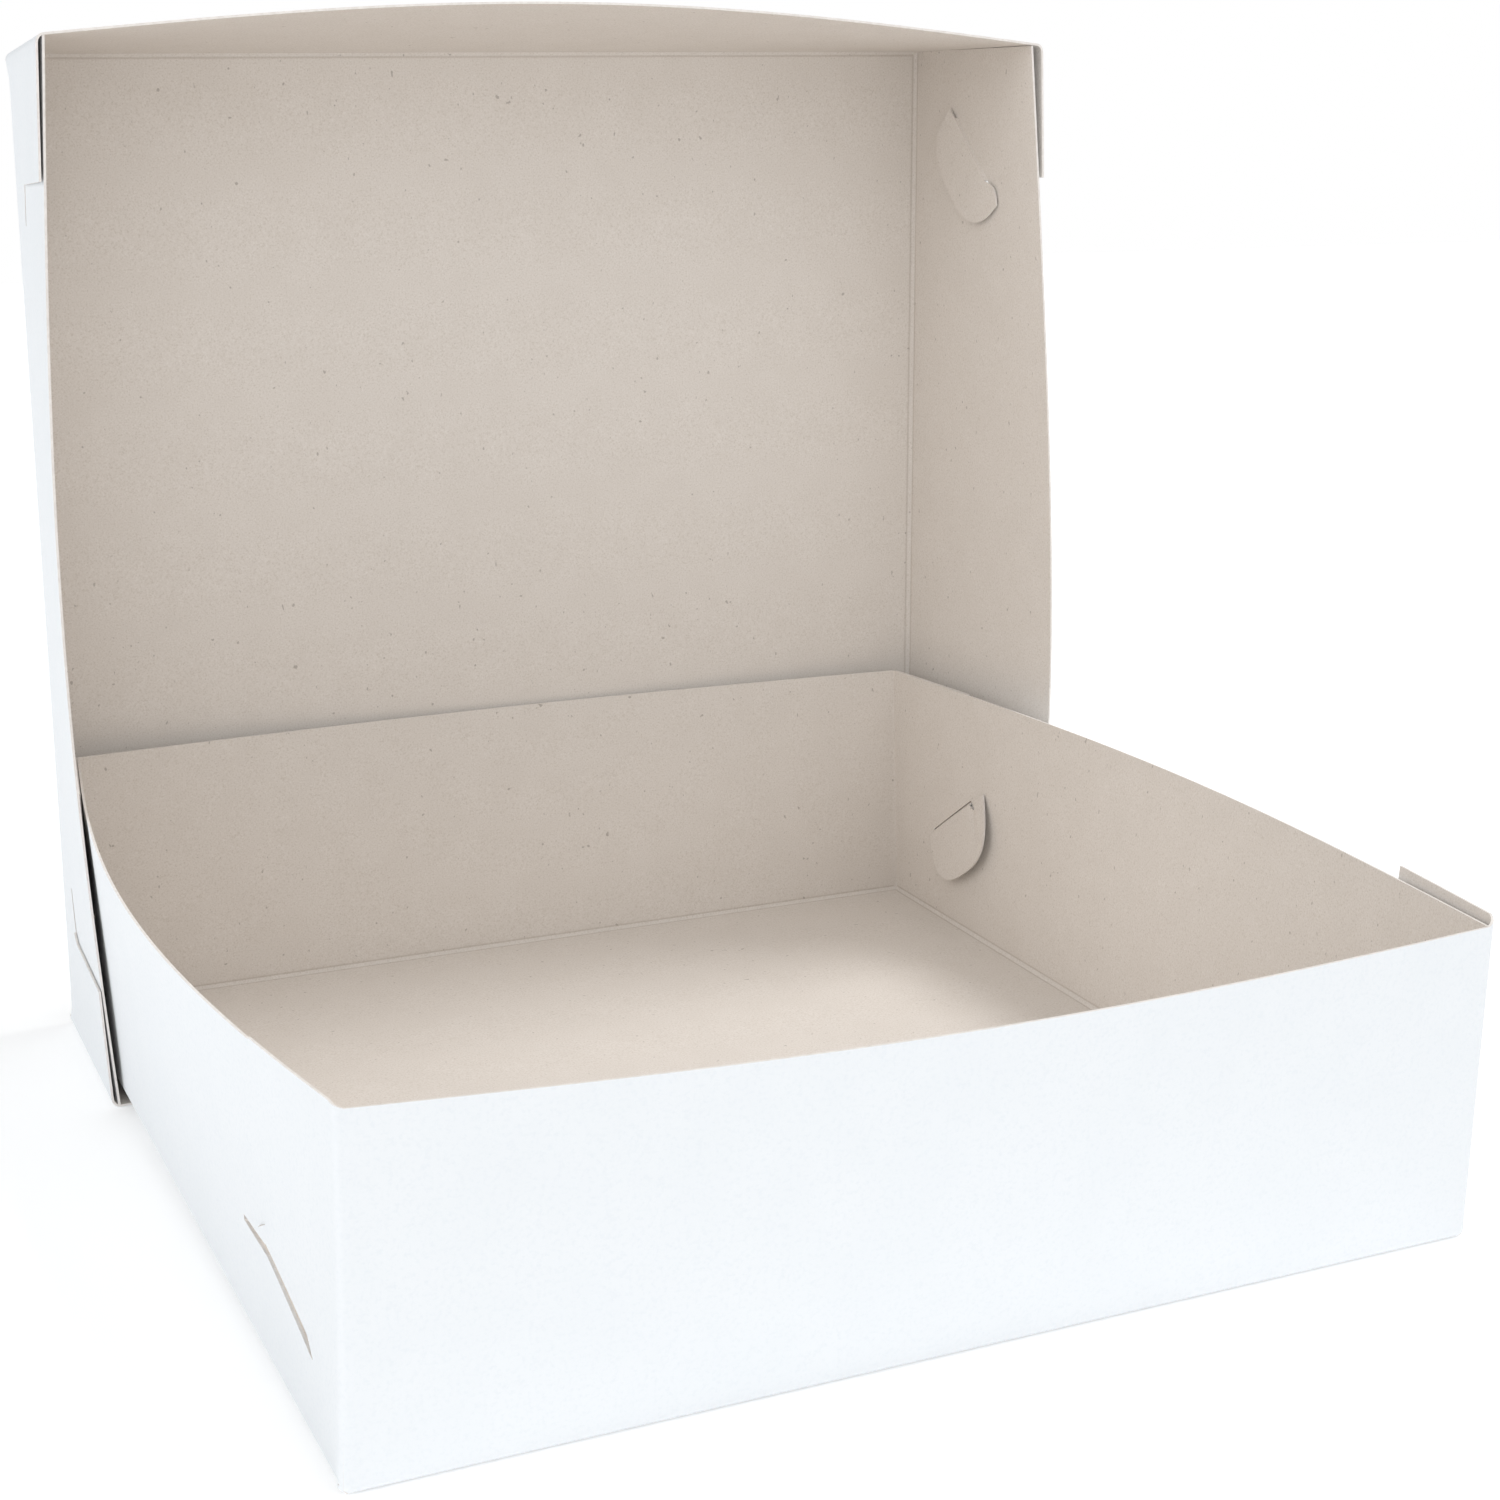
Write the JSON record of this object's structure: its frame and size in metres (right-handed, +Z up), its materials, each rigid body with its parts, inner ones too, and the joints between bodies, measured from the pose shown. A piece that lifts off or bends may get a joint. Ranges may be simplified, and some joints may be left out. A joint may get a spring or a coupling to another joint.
{
  "type": "pastry box",
  "caption": "Square white pastry box of two folded card trays with locked corners, the lid standing on edge behind the open base.",
  "frame": {"origin": "middle of the foot of the box that bounds both trays", "axes": "+Z up, +X to the right seen from the front of the base, +Y towards the lid's panel at the back"},
  "size_m": [0.2498, 0.2412, 0.24],
  "materials": {
    "coated_board": "satin"
  },
  "bodies": {
    "root": {"base_tray": "coated_board", "lid_tray": "coated_board"}
  },
  "joints": []
}
